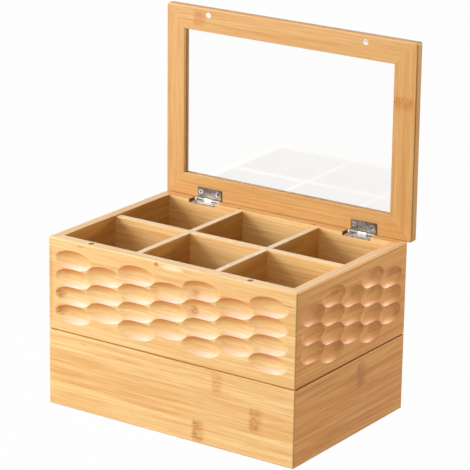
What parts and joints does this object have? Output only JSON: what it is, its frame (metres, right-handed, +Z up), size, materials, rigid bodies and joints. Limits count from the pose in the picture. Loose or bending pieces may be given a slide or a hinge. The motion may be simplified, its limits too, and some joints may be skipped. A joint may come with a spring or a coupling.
{
  "type": "tea bag organizer box",
  "caption": "Bamboo tea box: divided upper tier with scooped carved faces and a hinged window lid, stacked on a plain storage tray.",
  "frame": {"origin": "centre of the flat underside of the lower tray", "axes": "+Z up, carved front face towards -Y, +X to the right when facing the front"},
  "size_m": [0.2544, 0.1807, 0.321],
  "materials": {
    "bamboo": "clear satin lacquer over laminated bamboo strips",
    "clear_acrylic": "clear, glossy, flat sheet",
    "hinge_steel": "nickel-plated pressed steel",
    "screw_steel": "nickel-plated steel",
    "plated_magnet": "bright nickel plating"
  },
  "bodies": {
    "lower_tray": {"tray_front": "bamboo", "tray_back": "bamboo", "tray_left": "bamboo", "tray_right": "bamboo", "tray_floor": "bamboo"},
    "upper_box": {"upper_front": "bamboo", "upper_back": "bamboo", "upper_left": "bamboo", "upper_right": "bamboo", "upper_floor": "bamboo", "long_divider": "bamboo", "cross_divider_left": "bamboo", "cross_divider_right": "bamboo", "rim_magnets": "plated_magnet", "left_box_leaf": "hinge_steel", "right_box_leaf": "hinge_steel", "left_pin": "hinge_steel", "right_pin": "hinge_steel", "box_leaf_screws": "screw_steel"},
    "lid": {"lid_front_rail": "bamboo", "lid_back_rail": "bamboo", "lid_left_stile": "bamboo", "lid_right_stile": "bamboo", "lid_pane": "clear_acrylic", "lid_magnets": "plated_magnet", "left_lid_leaf": "hinge_steel", "right_lid_leaf": "hinge_steel", "lid_leaf_screws": "screw_steel"}
  },
  "joints": [
    {"name": "box_lift", "type": "slide", "parent": "lower_tray", "child": "upper_box", "axis": [0, 0, 1], "range_m": [0, 0.1]},
    {"name": "lid_hinge", "type": "hinge", "parent": "upper_box", "child": "lid", "pos_m": [0, 0.086, 0.14855], "axis": [1, 0, 0], "range_deg": [0, 89.5]}
  ]
}
